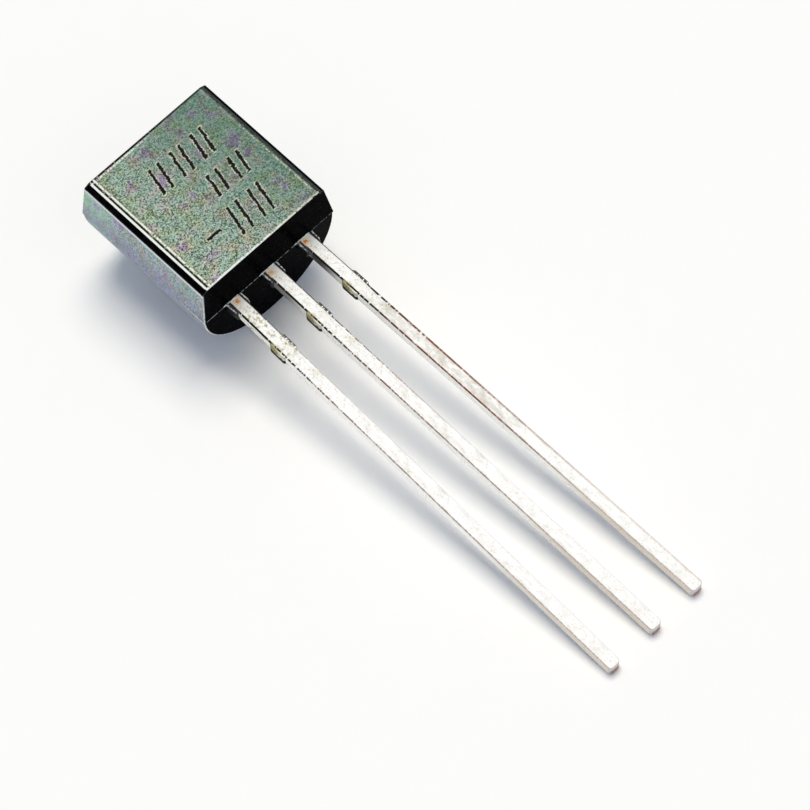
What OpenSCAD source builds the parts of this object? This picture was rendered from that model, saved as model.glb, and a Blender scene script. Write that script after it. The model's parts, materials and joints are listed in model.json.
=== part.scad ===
// Small three-lead transistor in a moulded case with one flat side.
// It lies on its rounded back and on the tips of its leads.
// Frame: +Z up, leads towards -Y, origin on the floor under the middle of the bounding box.
// The pieces are drawn in the case's own frame and then laid down together by placed():
// there, Z = 0 is the parting plane of the mould and the leads' upper face,
// Y = 0 is the end of the case that the leads leave, and X = 0 is its middle.

/* [Moulded case] */
// Width of the case at the parting plane
body_w = 4.64; // [4.4:0.01:5.2]
// Length of the case at the parting plane
body_len = 4.68; // [4.4:0.01:5.4]
// Height of the flat above the parting plane
front_h = 1.34; // [1.1:0.01:1.7]
// Draft of the flat side's two long walls, in degrees
wall_draft = 7.5; // [2:0.1:9]
// Draft of the flat side's two ends, in degrees
end_draft = 4.1; // [2:0.1:8]
// Draft of the rounded side's two ends, in degrees
back_draft = 1.6; // [0.5:0.1:4]
// Step from the flat side in to the rounded side, along the parting line
ledge = 0.02; // [0.01:0.005:0.04]
// Width of the bevel along each long edge of the flat
bevel_w = 0.17; // [0.08:0.005:0.25]
// Drop of that bevel
bevel_drop = 0.1; // [0.06:0.005:0.2]
// Radius of the flat side's moulded edges
edge_r = 0.05; // [0.02:0.005:0.06]

/* [Flash at the leads] */
// Length of the resin that stays round each lead outside the case
flash_len = 0.38; // [0.2:0.01:0.45]
// Width of that resin beside the lead, at the case
flash_w = 0.07; // [0.04:0.005:0.12]
// Width of that resin at its broken end
flash_end_w = 0.05; // [0.02:0.005:0.1]

/* [Leads] */
// Distance between the middles of neighbouring leads, at the case
lead_pitch = 1.27; // [1.2:0.01:1.35]
// Width of each lead
lead_w = 0.385; // [0.36:0.005:0.5]
// Thickness of each lead
lead_t = 0.38; // [0.33:0.01:0.48]
// Length of each lead from the case to its tip
lead_len = 14; // [12:0.05:16]
// Lean of the two outer leads away from the middle one, in degrees
splay_angle = 0.9; // [0:0.1:2]
// Lean of all three leads towards the rounded back, in degrees
droop_angle = 2.4; // [1:0.1:4]
// Distance from the case to the bend where the lean starts
bend_at = 0.5; // [0.45:0.01:0.8]
// Corner cut from each lead's sheared tip
tip_cut = 0.07; // [0.03:0.01:0.12]

/* [Dam bar stubs] */
// Distance from the case to the sheared stubs on the leads' sides
stub_at = 1.56; // [1.2:0.01:2.5]
// Length of each stub along the lead
stub_len = 0.6; // [0.4:0.01:0.8]
// Height of each stub's sheared face off the lead's side
stub_out = 0.05; // [0.02:0.005:0.09]
// Length of each stub's sloping ends
stub_slope = 0.06; // [0.03:0.01:0.12]

/* [Lead frame inside the case] */
// Distance from the end of the case to the locking ears
ear_at = 0.35; // [0.2:0.01:0.5]
// Length of the locking ears
ear_len = 0.3; // [0.2:0.01:0.35]
// Reach of each ear beside the lead
ear_out = 0.12; // [0.08:0.01:0.16]
// Distance from the end of the case to the base lead's pad
base_pad_at = 1.05; // [0.95:0.01:1.15]
// Length of the base lead's pad
base_pad_len = 0.6; // [0.4:0.01:0.65]
// Width of the base lead's pad
base_pad_w = 0.9; // [0.6:0.01:1]
// Distance from the end of the case to the emitter lead's pad
emitter_pad_at = 2; // [1.8:0.01:2.2]
// Length of the emitter lead's pad
emitter_pad_len = 1; // [0.6:0.01:1.2]
// Width of the emitter lead's pad
emitter_pad_w = 0.7; // [0.5:0.01:0.8]
// Distance from the end of the case to the chip's flag on the collector lead
flag_at = 1.98; // [1.9:0.01:2.1]
// Length of the flag
flag_len = 1.8; // [1.4:0.01:1.9]
// Width of the flag, from the collector lead's outer side inwards
flag_w = 2.05; // [1.6:0.01:2.1]

/* [Chip and bond wires] */
// Side of the square chip
chip_w = 0.5; // [0.35:0.01:0.6]
// Thickness of the chip
chip_t = 0.2; // [0.12:0.01:0.28]
// Distance from the flag's free side to the middle of the chip
chip_inset = 0.6; // [0.45:0.01:0.8]
// Distance from the flag's near edge to the middle of the chip
chip_up = 0.75; // [0.5:0.01:1]
// Distance of each bond on the chip from the chip's middle
bond_offset = 0.12; // [0.08:0.01:0.13]
// Side of the bond wires' section
wire_w = 0.05; // [0.03:0.005:0.06]
// Length of the flat foot at each end of a bond wire
foot_len = 0.08; // [0.05:0.01:0.09]
// Rise of each bond wire's loop over the line between its feet
wire_rise = 0.32; // [0.2:0.01:0.5]

/* [Hidden] */

$fn = 96;
EPOXY = [0.13, 0.14, 0.14];
TIN = [0.86, 0.86, 0.84];
SILICON = [0.35, 0.36, 0.4];
GOLD = [0.9, 0.72, 0.3];

// Which side of the middle each lead is on
LEFT = -1;
MIDDLE = 0;
RIGHT = 1;
// Flat steps in each moulded edge's rounding, and in each bond wire's loop
EDGE_STEPS = 3;
LOOP_STEPS = 12;

back_r = body_w / 2 - ledge;
flat_half = body_w / 2 - (front_h - bevel_drop) * tan(wall_draft) - bevel_w;
front_run = front_h * tan(end_draft);
back_run = back_r * tan(back_draft);
outer_len = lead_len - bend_at;

// The chip sits on the flag, which grows inwards from the collector lead's outer side
flag_side = lead_pitch + lead_w / 2;
chip_x = flag_side - flag_w + chip_inset;
chip_y = flag_at + chip_up;

// Lowest edge of the rounded back, and the middle of the middle lead's tip, as [y, z]
back_edge = [ledge + back_run, -back_r];
tip = [-bend_at - outer_len * cos(droop_angle), -lead_t / 2 - outer_len * sin(droop_angle)];
// From the middle of that tip to its lower edge
tip_half = [lead_t / 2 * sin(droop_angle), -lead_t / 2 * cos(droop_angle)];
tip_foot = tip + tip_half;

// Pitch at which the back's edge and the tip's lower edge both touch the floor
rest_tilt = atan((tip_foot[1] - back_edge[1]) / (back_edge[0] - tip_foot[0]));

// A [y, z] point of the case's frame after it is pitched
function pitched(p) = [
    p[0] * cos(rest_tilt) - p[1] * sin(rest_tilt),
    p[0] * sin(rest_tilt) + p[1] * cos(rest_tilt)
];

// The furthest points along Y: the far end of the case, at its back or its parting line,
// and the upper edge of the middle lead's tip
far_y = max(
    pitched([body_len - ledge - back_run, -back_r])[0],
    pitched([body_len, 0])[0]
);
near_y = pitched(tip - tip_half)[0];
lift = -pitched(back_edge)[1];

// Points of an outline's corner rounded to radius r, in EDGE_STEPS straight steps
function rounded_corner(before, corner, after, r) =
    let (
        a = (before - corner) / norm(before - corner),
        b = (after - corner) / norm(after - corner),
        half = acos(a * b) / 2,
        centre = corner + (a + b) / norm(a + b) * r / sin(half),
        start = corner + a * r / tan(half) - centre,
        turn = sign(a[0] * b[1] - a[1] * b[0]) * -(180 - 2 * half)
    )
    [for (i = [0 : EDGE_STEPS])
        let (angle = turn * i / EDGE_STEPS)
        centre + [
            start[0] * cos(angle) - start[1] * sin(angle),
            start[0] * sin(angle) + start[1] * cos(angle)
        ]];

// Outline of the flat side seen along the leads, as [x, z]: drafted sides, bevels, flat
function front_section() =
    let (
        foot = [body_w / 2, 0],
        shoulder = [flat_half + bevel_w, front_h - bevel_drop],
        brow = [flat_half, front_h],
        right = concat(
            [foot],
            rounded_corner(foot, shoulder, brow, edge_r),
            rounded_corner(shoulder, brow, [0, front_h], edge_r)
        )
    )
    concat(right, [for (i = [len(right) - 1 : -1 : 0]) [-right[i][0], right[i][1]]]);

// Outline of the flat side seen from the side, as [y, z]: drafted ends with rounded top edges
function front_side() =
    let (
        near = [front_run, front_h],
        far = [body_len - front_run, front_h]
    )
    concat(
        [[0, 0]],
        rounded_corner([0, 0], near, far, edge_r),
        rounded_corner(near, far, [body_len, 0], edge_r),
        [[body_len, 0]]
    );

// Outline of the rounded side seen from the side, as [y, z]
function back_side() = [
    [ledge, 0],
    [body_len - ledge, 0],
    [body_len - ledge - back_run, -back_r],
    [ledge + back_run, -back_r]
];

// Extrudes an outline in [x, z] along +Y
module along_y(length) {
    translate([0, length, 0])
        rotate([90, 0, 0])
            linear_extrude(length)
                children();
}

// Extrudes an outline in [y, z] across the case, centred on X = 0
module across_x(width) {
    translate([-width / 2, 0, 0])
        rotate([90, 0, 90])
            linear_extrude(width)
                children();
}

// Lays the case's frame down on the floor, in its rest attitude
module placed() {
    translate([0, -(near_y + far_y) / 2, lift])
        rotate([rest_tilt, 0, 0])
            children();
}

module front_half() {
    intersection() {
        along_y(body_len) polygon(front_section());
        across_x(body_w) polygon(front_side());
    }
}

module back_half() {
    intersection() {
        translate([0, body_len, 0])
            rotate([90, 0, 0])
                cylinder(r = back_r, h = body_len);
        across_x(body_w) polygon(back_side());
    }
}

// Resin left beside a lead's root, as thick as the lead and broken off short of its bend.
// Inside the case it runs back to the lead's ears, so that it is one with the moulding.
module flash(side) {
    root = lead_w / 2 + flash_w;
    end = lead_w / 2 + flash_end_w;
    translate([side * lead_pitch, 0, -lead_t])
        linear_extrude(lead_t)
            polygon([
                [-root, ear_at],
                [-root, 0],
                [-end, -flash_len],
                [end, -flash_len],
                [root, 0],
                [root, ear_at]
            ]);
}

module case() {
    color(EPOXY)
        difference() {
            union() {
                front_half();
                back_half();
                for (side = [LEFT, MIDDLE, RIGHT])
                    flash(side);
            }
            emitter_insert();
            base_insert();
            collector_insert();
            chip_block();
            emitter_loop();
            base_loop();
        }
}

// Direction in which a lead runs past its bend
function lead_direction(side) = [
    sin(side * splay_angle) * cos(droop_angle),
    -cos(side * splay_angle) * cos(droop_angle),
    -sin(droop_angle)
];

// Turns the leaning stretch of a lead, or with share = 0.5 the mitre plane of its bend
module leaning(side, share = 1) {
    direction = lead_direction(side);
    translate([side * lead_pitch, -bend_at, -lead_t / 2])
        rotate(a = share * acos(-direction[1]), v = cross([0, -1, 0], direction))
            children();
}

// Everything on the tip's side of a lead's bend
module beyond_bend(side) {
    leaning(side, 0.5)
        translate([-lead_pitch / 2, -lead_len, -lead_pitch / 2])
            cube([lead_pitch, lead_len, lead_pitch]);
}

// Outline of a lead from its bend to its tip, with the dam bar's stubs on both sides
function outer_outline() =
    let (
        half = lead_w / 2,
        stub_start = bend_at - stub_at,
        stub_end = stub_start - stub_len,
        right = [
            [half, bend_at],
            [half, stub_start],
            [half + stub_out, stub_start - stub_slope],
            [half + stub_out, stub_end + stub_slope],
            [half, stub_end],
            [half, tip_cut - outer_len],
            [half - tip_cut, -outer_len]
        ]
    )
    concat(right, [for (i = [len(right) - 1 : -1 : 0]) [-right[i][0], right[i][1]]]);

module outer_stretch(side) {
    intersection() {
        leaning(side)
            translate([0, 0, -lead_t / 2])
                linear_extrude(lead_t)
                    polygon(outer_outline());
        beyond_bend(side);
    }
}

// Straight stretch of a lead, from past its bend to its pad, with ears that lock it in the resin
module inner_stretch(side, pad_at) {
    difference() {
        translate([side * lead_pitch, 0, -lead_t])
            linear_extrude(lead_t)
                union() {
                    translate([-lead_w / 2, -2 * bend_at])
                        square([lead_w, 2 * bend_at + pad_at]);
                    translate([-lead_w / 2 - ear_out, ear_at])
                        square([lead_w + 2 * ear_out, ear_len]);
                }
        beyond_bend(side);
    }
}

// Flat pad of the lead frame, as thick as the leads, with its left near corner at [x, y]
module pad(x, y, width, length) {
    translate([x, y, -lead_t])
        cube([width, length, lead_t]);
}

module emitter_insert() {
    inner_stretch(LEFT, emitter_pad_at);
    pad(-lead_pitch - emitter_pad_w / 2, emitter_pad_at, emitter_pad_w, emitter_pad_len);
}

module base_insert() {
    inner_stretch(MIDDLE, base_pad_at);
    pad(-base_pad_w / 2, base_pad_at, base_pad_w, base_pad_len);
}

module collector_insert() {
    inner_stretch(RIGHT, flag_at);
    pad(flag_side - flag_w, flag_at, flag_w, flag_len);
}

module emitter_lead() {
    color(TIN)
        union() {
            emitter_insert();
            outer_stretch(LEFT);
        }
}

module base_lead() {
    color(TIN)
        union() {
            base_insert();
            outer_stretch(MIDDLE);
        }
}

module collector_lead() {
    color(TIN)
        union() {
            collector_insert();
            outer_stretch(RIGHT);
        }
}

module chip_block() {
    translate([chip_x - chip_w / 2, chip_y - chip_w / 2, 0])
        cube([chip_w, chip_w, chip_t]);
}

module chip() {
    color(SILICON)
        chip_block();
}

// Bond wire loop from a point on the chip's top to a point on a pad's top
module wire_loop(start, end) {
    run = end - start;
    span = norm([run[0], run[1]]);
    line = concat(
        [[-foot_len / 2, 0]],
        [for (i = [0 : LOOP_STEPS])
            let (t = i / LOOP_STEPS)
            [foot_len / 2 + (span - foot_len) * t, run[2] * t + wire_rise * sin(180 * t)]],
        [[span + foot_len / 2, run[2]]]
    );
    upper = [for (i = [len(line) - 1 : -1 : 0]) line[i] + [0, wire_w]];
    translate(start)
        rotate([0, 0, atan2(run[1], run[0])])
            translate([0, wire_w / 2, 0])
                rotate([90, 0, 0])
                    linear_extrude(wire_w)
                        polygon(concat(line, upper));
}

module emitter_loop() {
    wire_loop(
        [chip_x - bond_offset, chip_y, chip_t],
        [-lead_pitch, emitter_pad_at + emitter_pad_len / 2, 0]
    );
}

module base_loop() {
    wire_loop(
        [chip_x, chip_y - bond_offset, chip_t],
        [0, base_pad_at + base_pad_len / 2, 0]
    );
}

module emitter_wire() {
    color(GOLD)
        emitter_loop();
}

module base_wire() {
    color(GOLD)
        base_loop();
}

placed() case();
placed() emitter_lead();
placed() base_lead();
placed() collector_lead();
placed() chip();
placed() emitter_wire();
placed() base_wire();
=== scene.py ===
"""Small three-lead transistor in a moulded case with one flat side: pieces, finishes and stage."""

import json
from math import atan2, cos, pi, radians, sin, tan
from types import SimpleNamespace
from typing import NamedTuple

import bmesh
import bpy
from bpy.props import FloatProperty, FloatVectorProperty, IntProperty, PointerProperty
from mathutils import Matrix, Quaternion, Vector, noise


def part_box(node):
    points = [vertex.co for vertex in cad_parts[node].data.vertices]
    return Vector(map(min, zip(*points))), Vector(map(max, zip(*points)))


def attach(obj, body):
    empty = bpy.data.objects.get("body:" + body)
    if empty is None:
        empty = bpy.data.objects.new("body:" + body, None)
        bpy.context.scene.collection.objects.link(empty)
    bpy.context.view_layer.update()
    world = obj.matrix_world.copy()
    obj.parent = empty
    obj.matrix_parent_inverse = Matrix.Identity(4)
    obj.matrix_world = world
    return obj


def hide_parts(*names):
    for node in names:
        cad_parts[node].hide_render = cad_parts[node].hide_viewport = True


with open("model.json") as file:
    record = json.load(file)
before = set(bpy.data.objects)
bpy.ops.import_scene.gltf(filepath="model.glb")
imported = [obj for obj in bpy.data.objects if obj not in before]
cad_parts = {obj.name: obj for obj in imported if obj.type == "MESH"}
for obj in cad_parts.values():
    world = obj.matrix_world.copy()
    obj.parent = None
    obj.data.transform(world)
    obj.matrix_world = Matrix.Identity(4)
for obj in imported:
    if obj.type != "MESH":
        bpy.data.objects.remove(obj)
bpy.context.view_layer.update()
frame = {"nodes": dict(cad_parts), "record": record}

bl_info = {
    "name": "Three-lead transistor",
    "version": (1, 0, 0),
    "blender": (4, 5, 0),
    "location": "3D View > Sidebar > Transistor",
    "description": "Dresses the transistor's case and leads, and sets its floor, lights and camera",
    "category": "Object",
}

MM = 0.001
BODY = "root"
LEFT, MIDDLE, RIGHT = -1, 0, 1
LEADS = {"emitter_lead": LEFT, "base_lead": MIDDLE, "collector_lead": RIGHT}
MOUNTS = {mount["name"]: mount for mount in frame["record"]["mounts"]}
CASE_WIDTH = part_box("case")[1].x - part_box("case")[0].x


def length(name, description, millimetres):
    return FloatProperty(
        name=name,
        description=description,
        default=millimetres * MM,
        min=0.0,
        precision=5,
        unit="LENGTH",
    )


def angle(name, description, turned):
    return FloatProperty(
        name=name,
        description=description,
        default=radians(turned),
        subtype="ANGLE",
        unit="ROTATION",
    )


def colour(name, description, shade):
    return FloatVectorProperty(
        name=name,
        description=description,
        default=shade,
        min=0.0,
        max=1.0,
        size=3,
        subtype="COLOR",
    )


def number(name, description, value):
    return FloatProperty(name=name, description=description, default=value)


class CaseSizes(bpy.types.PropertyGroup):
    """Sizes of the moulded case"""

    width: length("Width", "Width at the parting plane", CASE_WIDTH / MM)
    length: length("Length", "Length at the parting plane", 4.68)
    front_height: length("Flat height", "Height of the flat above the parting plane", 1.34)
    wall_draft: angle("Wall draft", "Draft of the flat side's long walls", 7.5)
    end_draft: angle("End draft", "Draft of the flat side's ends", 4.1)
    back_draft: angle("Back draft", "Draft of the rounded side's ends", 1.6)
    ledge: length("Ledge", "Step in to the rounded side at the parting line", 0.02)
    bevel_width: length("Bevel width", "Width of the bevels beside the flat", 0.17)
    bevel_drop: length("Bevel drop", "Drop of the bevels beside the flat", 0.1)
    rounding: length("Rounding", "How far each moulded edge's rounding reaches", 0.022)
    lead_pitch: length("Lead pitch", "Distance between neighbouring leads", 1.27)
    flash_width: length("Flash width", "Width of the resin left beside each lead", 0.07)
    flash_length: length("Flash length", "Length of the resin left beside each lead", 0.38)
    back_facets: IntProperty(
        name="Back facets",
        description="Facets round the whole circle of the rounded back",
        default=256,
        min=32,
        max=512,
    )


class CaseColours(bpy.types.PropertyGroup):
    """Colours of the epoxy"""

    grain_dark: colour("Grain, dark", "Hollows of the eroded texture", (0.03, 0.045, 0.035))
    grain_light: colour("Grain, light", "Peaks of the eroded texture", (0.605, 0.645, 0.57))
    # Painted shade: what the flat and the walls darken to towards the far right
    painted_shade: colour("Dim", "What the texture darkens to at the far right", (0.038, 0.115, 0.098))
    # The walls' colours are lighter than the flat's: a painted reflection of the pale floor
    wall_dark: colour("Wall, dark", "Hollows of the texture on the walls", (0.12, 0.14, 0.15))
    wall_light: colour("Wall, light", "Peaks of the texture on the walls", (0.79, 0.82, 0.86))
    lilac: colour("Lilac", "Tint of faint lilac clouds", (0.84, 0.64, 1.0))
    teal: colour("Teal", "Tint of faint teal clouds", (0.8, 1.0, 0.92))
    buff: colour("Buff", "Tint of faint buff clouds", (1.0, 0.93, 0.76))
    # Its lilac low down is part of that painted reflection
    wall_lilac: colour("Wall, lilac", "Tint of the walls' lower part", (0.8, 0.77, 1.0))
    wall_teal: colour("Wall, teal", "Tint of the walls' far part", (0.79, 1.0, 0.77))
    polished: colour("Polished", "Epoxy moulded against polished steel", (0.001, 0.001, 0.0013))
    haze: colour("Haze", "Faint haze on the polished epoxy", (0.006, 0.006, 0.008))
    # Painted sheen inside the right bevel
    sheen: colour("Sheen", "Dull inner part of the right bevel", (0.053, 0.066, 0.068))
    # A duller finish on the far end, lighter in a painted sheen
    far_end_sheen: colour("Far end", "Duller epoxy on the far end", (0.032, 0.036, 0.038))
    # Painted highlights: light lines on edges, rims and parting line, and glints in pits and flash
    painted_highlight: colour("Worn", "Lines worn along the edges, and bright pits", (0.9, 0.92, 0.88))
    # Yellowed stretches of those painted highlights
    cream_highlight: colour("Cream", "Yellowed stretches of the worn line", (0.78, 0.72, 0.52))
    mark: colour("Mark", "Etched marks", (0.003, 0.002, 0.0015))
    fringe: colour("Fringe", "Light fringe beside the etched marks", (0.74, 0.74, 0.6))


class MarkSizes(bpy.types.PropertyGroup):
    """Sizes of the etched marks on the flat"""

    stroke: length("Stroke", "Width of each stroke", 0.085)
    pitch: length("Pitch", "Distance between the two strokes of a pair", 0.3)
    group: length("Group", "Distance between neighbouring pairs", 0.74)
    lean: number("Lean", "Sideways lean of a stroke over its height", 0.22)


class LeadSizes(bpy.types.PropertyGroup):
    """Sizes of the leads"""

    rounding: length("Rounding", "How far each stamped edge's rounding reaches", 0.024)
    tip_rounding: length("Tip rounding", "Rounding of the tip's corners, seen from above", 0.042)
    half_width: length("Half width", "Half the width of a lead", 0.1925)
    half_thickness: length("Half thickness", "Half the thickness of a lead", 0.19)
    length: length("Length", "Length from the case to the tip", 14.0)


class LeadColours(bpy.types.PropertyGroup):
    """Colours of the leads"""

    tin: colour("Tin", "Bright tin plating", (0.655, 0.665, 0.68))
    # Sides: brighter than the top's tin, a painted reflection of the pale floor, duller near the
    # tips
    side: colour("Sides", "Brighter tin on the sides", (1.0, 1.0, 0.97))
    side_far: colour("Sides, far", "Tin on the sides towards the tips", (0.8, 0.74, 0.67))
    yellowed: colour("Yellowed tin", "Tin that has yellowed a little", (0.66, 0.61, 0.46))
    speck: colour("Specks", "Dark specks and streaks in the plating", (0.3, 0.27, 0.2))
    copper: colour("Copper", "Copper bared by shearing", (0.62, 0.2, 0.06))
    salmon: colour("Salmon", "Lower part of the sheared tips", (0.42, 0.24, 0.18))
    # Lines along the edges: dark near the case, brown half way, grey near the tips; Dark edge also
    # paints the shade on the root's left side
    dark: colour("Dark edge", "Tarnish along the edges, near the case", (0.012, 0.011, 0.009))
    brown: colour("Brown edge", "Tarnish along the edges, half way", (0.19, 0.068, 0.043))
    grey: colour("Grey edge", "Tarnish along the edges, near the tips", (0.42, 0.33, 0.28))
    olive: colour("Olive", "Stains on the dam bar's stubs and before them", (0.3, 0.28, 0.15))


class InsideColours(bpy.types.PropertyGroup):
    """Colours of the chip and its bond wires"""

    sawn: colour("Sawn", "Grooves that the saw left in the silicon", (0.1, 0.11, 0.13))
    silicon: colour("Silicon", "Silicon between the grooves", (0.2, 0.21, 0.24))
    cells: colour("Cells", "Tint of the chip's cells", (0.3, 0.26, 0.34))
    drawn: colour("Drawn gold", "Darker lines along the bond wires", (0.78, 0.55, 0.2))
    gold: colour("Gold", "Bond wires", (0.92, 0.7, 0.32))


class StageSettings(bpy.types.PropertyGroup):
    """Floor, lights and camera"""

    azimuth: angle("Azimuth", "Where the camera looks, from +Y towards +X", 33.652)
    elevation: angle("Elevation", "Camera's height over the horizon", 59.871)
    roll: angle("Roll", "Camera's turn about its own axis", -12.14)
    distance: length("Distance", "From the camera to its aim", 108.954)
    aim: FloatVectorProperty(
        name="Aim",
        description="Point on the camera's axis",
        default=(-0.3769 * MM, -0.8744 * MM, 2 * MM),
        size=3,
        precision=5,
        subtype="TRANSLATION",
        unit="LENGTH",
    )
    lens: number("Lens", "Focal length in millimetres", 190.31)
    floor_reach: length("Floor reach", "From the origin to the floor's edges", 2000.0)
    floor: colour("Floor", "Colour of the floor", (0.97, 0.97, 0.965))
    fibres: colour("Fibres", "Faint fibres in the floor", (0.96, 0.96, 0.958))
    sky: colour("Sky", "Colour of the surrounding light", (0.35, 0.39, 0.46))
    backdrop: colour("Backdrop", "Colour of the backdrop round the floor", (0.92, 0.93, 0.94))
    key: colour("Key light", "Colour of the key light", (1.0, 0.94, 0.83))
    key_level: number("Key level", "Light that the key lays on the floor, 1 being white", 0.66)
    key_x: angle("Key across", "Lean of the key light's direction towards +X", 12.0)
    key_y: angle("Key along", "Lean of the key light's direction towards +Y", 8.0)
    key_spread: angle("Key spread", "Angle that the key light fills, seen from the part", 34.0)


def put(value, socket):
    """Links a value to a socket, or sets it there if it is a plain number or colour."""
    if isinstance(value, Value):
        socket.id_data.links.new(value.socket, socket)
    elif socket.type == "RGBA":
        socket.default_value = (*value, 1.0)
    else:
        socket.default_value = value


def add_node(tree, kind, inputs, **settings):
    """Adds a node, and puts into its inputs what they are given by number or by name."""
    made = tree.nodes.new("ShaderNode" + kind)
    for name, value in settings.items():
        setattr(made, name, value)
    for key, value in inputs.items():
        put(value, made.inputs[key])
    return made


class Value:
    """What a node gives out at each point: a number, a colour, a place or light.

    A mask is a number, 1 where something shows and 0 where it doesn't. Of two masks, * keeps
    what both show, and | what either shows, as it gives the larger of two numbers. ~ turns a
    mask inside out.
    """

    def __init__(self, socket):
        self.socket = socket

    def node(self, kind, inputs, output=0, **settings):
        made = add_node(self.socket.id_data, kind, inputs, **settings)
        return Value(made.outputs[output])

    def math(self, operation, *values):
        return self.node("Math", dict(enumerate(values)), operation=operation)

    def __add__(self, other):
        return self.math("ADD", self, other)

    def __radd__(self, other):
        return self.math("ADD", other, self)

    def __sub__(self, other):
        return self.math("SUBTRACT", self, other)

    def __rsub__(self, other):
        return self.math("SUBTRACT", other, self)

    def __mul__(self, other):
        return self.math("MULTIPLY", self, other)

    def __truediv__(self, other):
        return self.math("DIVIDE", self, other)

    def __or__(self, other):
        return self.math("MAXIMUM", self, other)

    def __invert__(self):
        return 1.0 - self

    def __abs__(self):
        return self.math("ABSOLUTE", self)

    def wrap(self, low, high):
        """This number, begun again from low each time it passes high."""
        return self.math("WRAP", self, high, low)

    def ramp(self, start, end, at_start=0.0, at_end=1.0):
        """Eases from at_start, where this is start, to at_end, where it is end."""
        inputs = dict(enumerate((self, start, end, at_start, at_end)))
        return self.node("MapRange", inputs, interpolation_type="SMOOTHSTEP")

    def fade(self, start, end):
        """Eases from 1, where this is start, to 0, where it is end."""
        return self.ramp(start, end, 1.0, 0.0)

    def around(self, middle, reach):
        """Eases from 0 to 1 between reach below the middle and reach above it."""
        return self.ramp(middle - reach, middle + reach)

    def near(self, centre, reach, soft):
        """A mask of where this is within reach of centre, easing to 0 over soft."""
        return abs(self - centre).fade(reach, reach + soft)

    def level(self, outside, inside):
        """Eases from one number, outside this mask, to another inside it."""
        return self.ramp(0.0, 1.0, outside, inside)

    def mix(self, outside, inside):
        """Goes evenly from one number, outside this mask, to another inside it."""
        return self.node("Mix", {0: self, 2: outside, 3: inside})

    def blend(self, under, over, kind="MIX"):
        """Lays one colour over another, where this mask shows."""
        inputs = {0: self, 6: under, 7: over}
        return self.node("Mix", inputs, output=2, data_type="RGBA", blend_type=kind)

    def tint(self, under, over):
        """Multiplies one colour by another, where this mask shows."""
        return self.blend(under, over, "MULTIPLY")

    def sway(self, amount):
        """The rise and fall of this pattern about its middle, times an amount."""
        return (self - 0.5) * amount

    def bump(self, distance):
        return self.node("Bump", {"Height": self, "Distance": distance})

    def noise(self, scale, detail=2.0, roughness=0.5):
        inputs = {"Vector": self, "Scale": scale, "Detail": detail, "Roughness": roughness}
        return self.node("TexNoise", inputs, output="Fac")

    def stretch(self, *scale):
        return self.node("Mapping", {"Vector": self, "Scale": scale})

    def seen_from(self, own):
        """This place in a piece's own frame, in millimetres."""
        inputs = {"Vector": self, "Location": own.translation, "Rotation": own.to_euler()}
        return self.node("Mapping", {**inputs, "Scale": (MM, MM, MM)}, vector_type="TEXTURE")

    def from_origin(self):
        """How far this place lies from the origin."""
        return self.node("VectorMath", {0: self}, output="Value", operation="LENGTH")

    def axes(self):
        parts = add_node(self.socket.id_data, "SeparateXYZ", {0: self})
        return [Value(part) for part in parts.outputs]


def any_of(masks):
    """A mask of where any of these masks shows."""
    whole, *others = masks
    for mask in others:
        whole = whole | mask
    return whole


def start_material(name):
    """A new material, and its Object coordinates."""
    material = bpy.data.materials.new(name)
    material.use_nodes = True
    return material, Value(add_node(material.node_tree, "TexCoord", {}).outputs["Object"])


def finish_material(material, **sockets):
    surface = material.node_tree.nodes["Principled BSDF"]
    for name, value in sockets.items():
        put(value, surface.inputs[name.replace("_", " ")])
    return material


def case_frame():
    """Turns the case's own frame, with its parting plane at Z = 0, into the part's frame."""
    sizes = bpy.context.scene.case_sizes
    flat = MOUNTS["flat"]
    turn = Matrix.Rotation(atan2(-flat["axis"][1], flat["axis"][2]), 4, "X")
    origin = Vector(flat["pos_m"]) - turn @ Vector((0.0, sizes.length / 2, sizes.front_height))
    return Matrix.Translation(origin) @ turn


def lead_frame(node):
    """A lead's own frame: origin in the middle of its tip, Y back along the lead, Z up."""
    tip = MOUNTS[node + "_tip"]
    back = -Vector(tip["axis"]).normalized()
    across = back.cross(Vector((0.0, 0.0, 1.0))).normalized()
    turn = Matrix((across, back, across.cross(back))).transposed().to_4x4()
    return Matrix.Translation(Vector(tip["pos_m"])) @ turn


# The least angle by which a surface turns where it shades as a sharp edge, and where an edge
# is rounded on the case's back and on a lead
SHARP = radians(50)
BACK_CORNER = radians(45)
LEAD_CORNER = radians(20)


def cut_away(work, point, normal):
    """Removes what lies beyond a plane and closes the cut."""
    cut = bmesh.ops.bisect_plane(
        work,
        geom=work.verts[:] + work.edges[:] + work.faces[:],
        dist=1e-8,
        plane_co=point,
        plane_no=normal,
        clear_outer=True,
    )
    rim = [item for item in cut["geom_cut"] if isinstance(item, bmesh.types.BMEdge)]
    bmesh.ops.edgeloop_fill(work, edges=rim)


def round_edges(work, edges, reach, segments):
    """Rounds edges over a reach on each side, and gives the faces that this adds."""
    return bmesh.ops.bevel(
        work,
        geom=edges,
        affect="EDGES",
        offset_type="OFFSET",
        offset=reach,
        segments=segments,
        profile=0.5,
        material=-1,
        clamp_overlap=True,
    )["faces"]


def sharp_corners(work, least):
    """Edges at which the surface turns by more than the least angle."""
    return [edge for edge in work.edges if edge.is_manifold and edge.calc_face_angle() > least]


def shade(work):
    """Shades every face smooth, apart from edges that turn enough to be sharp."""
    for face in work.faces:
        face.smooth = True
    for edge in work.edges:
        edge.smooth = not edge.is_manifold or edge.calc_face_angle() < SHARP


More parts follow.
